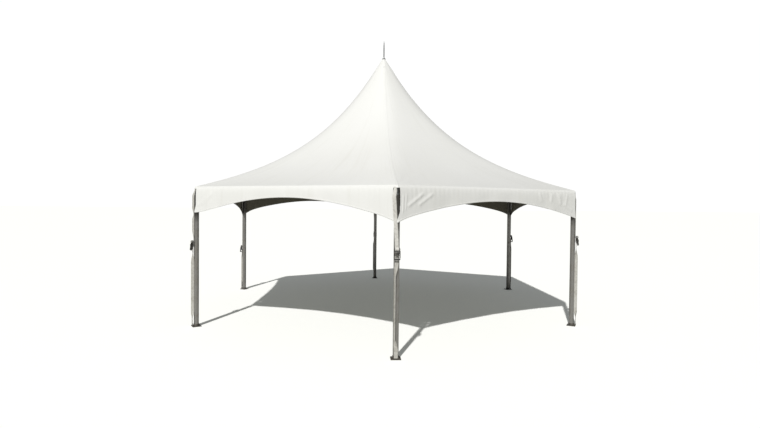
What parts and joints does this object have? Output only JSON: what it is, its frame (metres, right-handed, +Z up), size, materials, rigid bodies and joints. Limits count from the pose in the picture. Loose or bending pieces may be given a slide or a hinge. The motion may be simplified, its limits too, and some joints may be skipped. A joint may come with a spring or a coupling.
{
  "type": "hexagonal frame marquee tent",
  "caption": "Open-sided hexagonal marquee: tube frame on ratchet-strapped legs, swept high-peak white roof with a finial, and arched valances at the eaves.",
  "frame": {"origin": "on the ground, at the middle of the hexagon and under the peak", "axes": "+Z up, -Y towards the front corner's leg, +X towards the middle of the right side"},
  "size_m": [6.2988, 7.2276, 5.14],
  "materials": {
    "white_vinyl": "coated polyester, satin, dark grey inner face",
    "tube_aluminium": "mill-finish extruded tube, lightly weathered",
    "galvanised_steel": "galvanised, dull",
    "dark_steel": "dark paint, satin",
    "pale_webbing": "woven polyester webbing",
    "ratchet_steel": "dark zinc-plated steel, worn",
    "wire_rope": "galvanised wire rope and fittings"
  },
  "bodies": {
    "tent": {"leg_front": "tube_aluminium", "leg_left_front": "tube_aluminium", "leg_left_back": "tube_aluminium", "leg_back": "tube_aluminium", "leg_right_back": "tube_aluminium", "leg_right_front": "tube_aluminium", "foot_plate_front": "dark_steel", "foot_plate_left_front": "dark_steel", "foot_plate_left_back": "dark_steel", "foot_plate_back": "dark_steel", "foot_plate_right_back": "dark_steel", "foot_plate_right_front": "dark_steel", "corner_fitting_front": "galvanised_steel", "corner_fitting_left_front": "galvanised_steel", "corner_fitting_left_back": "galvanised_steel", "corner_fitting_back": "galvanised_steel", "corner_fitting_right_back": "galvanised_steel", "corner_fitting_right_front": "galvanised_steel", "eave_beam_front_left": "tube_aluminium", "eave_beam_left": "tube_aluminium", "eave_beam_back_left": "tube_aluminium", "eave_beam_back_right": "tube_aluminium", "eave_beam_right": "tube_aluminium", "eave_beam_front_right": "tube_aluminium", "roof_panel_front_left": "white_vinyl", "roof_panel_left": "white_vinyl", "roof_panel_back_left": "white_vinyl", "roof_panel_back_right": "white_vinyl", "roof_panel_right": "white_vinyl", "roof_panel_front_right": "white_vinyl", "valance_front_left": "white_vinyl", "valance_left": "white_vinyl", "valance_back_left": "white_vinyl", "valance_back_right": "white_vinyl", "valance_right": "white_vinyl", "valance_front_right": "white_vinyl", "cross_cables": "wire_rope", "mast": "tube_aluminium", "mast_head": "galvanised_steel", "finial": "galvanised_steel", "corner_strap_front": "pale_webbing", "corner_strap_left_front": "pale_webbing", "corner_strap_left_back": "pale_webbing", "corner_strap_back": "pale_webbing", "corner_strap_right_back": "pale_webbing", "corner_strap_right_front": "pale_webbing", "ratchet_front": "ratchet_steel", "ratchet_left_front": "ratchet_steel", "ratchet_left_back": "ratchet_steel", "ratchet_back": "ratchet_steel", "ratchet_right_back": "ratchet_steel", "ratchet_right_front": "ratchet_steel"},
    "handle_front": {"ratchet_handle_front": "ratchet_steel"},
    "handle_left_front": {"ratchet_handle_left_front": "ratchet_steel"},
    "handle_left_back": {"ratchet_handle_left_back": "ratchet_steel"},
    "handle_back": {"ratchet_handle_back": "ratchet_steel"},
    "handle_right_back": {"ratchet_handle_right_back": "ratchet_steel"},
    "handle_right_front": {"ratchet_handle_right_front": "ratchet_steel"}
  },
  "joints": [
    {"name": "handle_hinge_front", "type": "hinge", "parent": "tent", "child": "handle_front", "pos_m": [0, -3.58393, 1.41], "axis": [-1, 0, 0], "range_deg": [0, 160]},
    {"name": "handle_hinge_left_front", "type": "hinge", "parent": "tent", "child": "handle_left_front", "pos_m": [-3.10377, -1.79196, 1.35], "axis": [-0.5, 0.866, 0], "range_deg": [0, 160]},
    {"name": "handle_hinge_left_back", "type": "hinge", "parent": "tent", "child": "handle_left_back", "pos_m": [-3.10377, 1.79196, 0.98], "axis": [0.5, 0.866, 0], "range_deg": [0, 160]},
    {"name": "handle_hinge_back", "type": "hinge", "parent": "tent", "child": "handle_back", "pos_m": [0, 3.58393, 1.22], "axis": [1, 0, 0], "range_deg": [0, 160]},
    {"name": "handle_hinge_right_back", "type": "hinge", "parent": "tent", "child": "handle_right_back", "pos_m": [3.10377, 1.79196, 1.245], "axis": [0.5, -0.866, 0], "range_deg": [0, 160]},
    {"name": "handle_hinge_right_front", "type": "hinge", "parent": "tent", "child": "handle_right_front", "pos_m": [3.10377, -1.79196, 1.46], "axis": [-0.5, -0.866, 0], "range_deg": [0, 160]}
  ]
}
